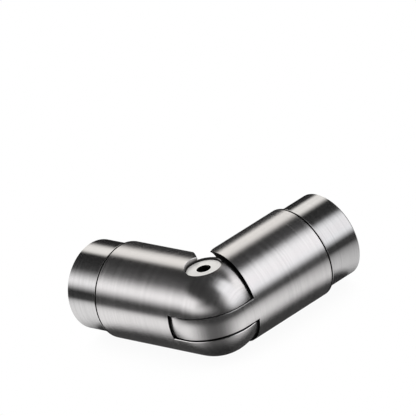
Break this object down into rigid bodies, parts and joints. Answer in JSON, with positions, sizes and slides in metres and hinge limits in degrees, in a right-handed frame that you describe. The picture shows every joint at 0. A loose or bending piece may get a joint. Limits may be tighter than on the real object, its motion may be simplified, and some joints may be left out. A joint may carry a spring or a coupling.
{
  "type": "adjustable handrail connector",
  "caption": "Adjustable elbow that joins two round handrail tubes: a ball-shaped hinge between two arms, each ending in a spigot for the tube, clamped by one countersunk screw.",
  "frame": {"origin": "on the fork arm's axis, in the plane of the shoulder where the first handrail tube stops", "axes": "+X from that shoulder to the pivot, +Z along the pivot's axis towards the screw head, +Y to the side that the second arm leaves on"},
  "size_m": [0.0958, 0.092, 0.0424],
  "materials": {
    "brushed_arm": "satin stainless steel, brushed round the arm",
    "turned_spigot": "smooth turned stainless steel",
    "screw_steel": "bright stainless steel, faced flat",
    "pin_steel": "ground stainless steel",
    "bush_bronze": "sintered bronze",
    "slide_plastic": "black slide plastic",
    "spring_steel": "hardened spring steel"
  },
  "bodies": {
    "fork_half": {"fork_body": "brushed_arm", "fork_spigot": "turned_spigot", "pivot_pin": "pin_steel", "slide_washer": "slide_plastic", "disc_spring": "spring_steel"},
    "tongue_half": {"tongue_body": "brushed_arm", "tongue_spigot": "turned_spigot", "pivot_bush": "bush_bronze"},
    "screw": {"pivot_screw": "screw_steel"}
  },
  "joints": [
    {"name": "elbow", "type": "hinge", "parent": "fork_half", "child": "tongue_half", "pos_m": [0.0512, 0, 0], "axis": [0, 0, 1], "range_deg": [-84, 20]},
    {"name": "clamp_screw", "type": "hinge", "parent": "fork_half", "child": "screw", "pos_m": [0.0512, 0, 0], "axis": [0, 0, 1], "range_deg": [0, 180]}
  ]
}
